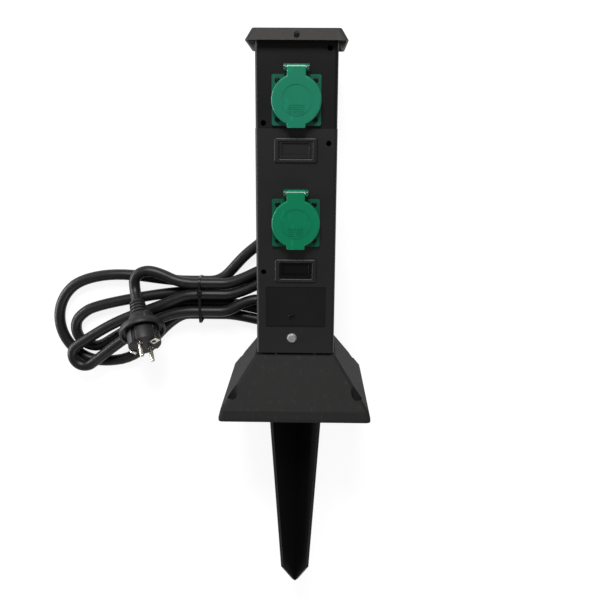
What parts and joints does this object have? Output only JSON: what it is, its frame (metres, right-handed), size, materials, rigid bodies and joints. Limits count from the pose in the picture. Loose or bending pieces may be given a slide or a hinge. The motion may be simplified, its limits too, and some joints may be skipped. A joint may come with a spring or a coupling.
{
  "type": "garden socket",
  "caption": "Square garden socket post with two lidded outlets, a roof, a flared base on a ground spike, and a rubber mains lead tied in a hank with its plug.",
  "frame": {"origin": "centre of the base's underside, where the post's axis meets the ground plane", "axes": "+Y up the post to its roof, +X to the right of its front, +Z out of its front face; the post lies on its back, so the surface it lies on is 82 mm below the origin along -Z"},
  "size_m": [0.3914, 0.6535, 0.164],
  "materials": {
    "roof": "smooth dark grey moulding",
    "housing": "fine-grained black moulding",
    "base": "fine-grained dark grey moulding",
    "spike": "smooth dark grey moulding",
    "green": "satin green moulding",
    "seal": "soft black rubber",
    "zinc": "zinc-plated steel",
    "dark_steel": "blackened steel",
    "bolt": "dull galvanised steel",
    "nickel": "nickel-plated brass",
    "brass": "brass",
    "spring": "spring steel wire",
    "insulator": "off-white moulding",
    "brown": "brown insulation",
    "blue": "blue insulation",
    "earth": "green and yellow insulation",
    "cord": "black rubber sheath",
    "plug": "black moulded rubber",
    "tie": "black plastic band"
  },
  "bodies": {
    "post": {"roof_cap": "roof", "roof_screws": "dark_steel", "upper_front_housing": "housing", "upper_rear_housing": "housing", "upper_housing_screws": "zinc", "lower_front_housing": "housing", "lower_rear_housing": "housing", "lower_housing_screws": "zinc", "upper_window_blank": "housing", "lower_window_blank": "housing", "terminal_cover": "housing", "terminal_cover_screw": "dark_steel", "base": "base", "ground_spike": "spike", "spike_screws": "zinc", "foot_bolt": "bolt", "foot_washer": "bolt", "foot_nut": "bolt", "terminal_block": "insulator", "terminal_screws": "brass", "terminal_mount_screws": "zinc", "cord_clamp": "insulator", "clamp_screws": "zinc", "cord_inner": "cord", "brown_wires": "brown", "blue_wires": "blue", "earth_wires": "earth", "cord_boot": "seal", "cord_lead": "cord", "cord_hank": "cord", "cord_tail": "cord", "cord_tie": "tie", "plug_body": "plug", "plug_pins": "nickel", "plug_earth_contacts": "nickel", "upper_socket_insert": "green", "upper_socket_gasket": "seal", "upper_flange_screws": "zinc", "upper_earth_clip": "nickel", "upper_contacts": "brass", "upper_rear_cap": "housing", "upper_hinge_pin": "zinc", "upper_hinge_spring": "spring", "lower_socket_insert": "green", "lower_socket_gasket": "seal", "lower_flange_screws": "zinc", "lower_earth_clip": "nickel", "lower_contacts": "brass", "lower_rear_cap": "housing", "lower_hinge_pin": "zinc", "lower_hinge_spring": "spring"},
    "upper_lid": {"upper_lid": "green", "upper_lid_seal": "seal"},
    "lower_lid": {"lower_lid": "green", "lower_lid_seal": "seal"}
  },
  "joints": [
    {"name": "upper_lid_hinge", "type": "hinge", "parent": "post", "child": "upper_lid", "pos_m": [0, 0.3649, 0.0504], "axis": [-1, 0, 0], "range_deg": [0, 130], "stiffness_Nm_per_rad": 0.03, "springref_deg": -28.65},
    {"name": "lower_lid_hinge", "type": "hinge", "parent": "post", "child": "lower_lid", "pos_m": [0, 0.2409, 0.0508], "axis": [-1, 0, 0], "range_deg": [0, 130], "stiffness_Nm_per_rad": 0.03, "springref_deg": -28.65}
  ]
}
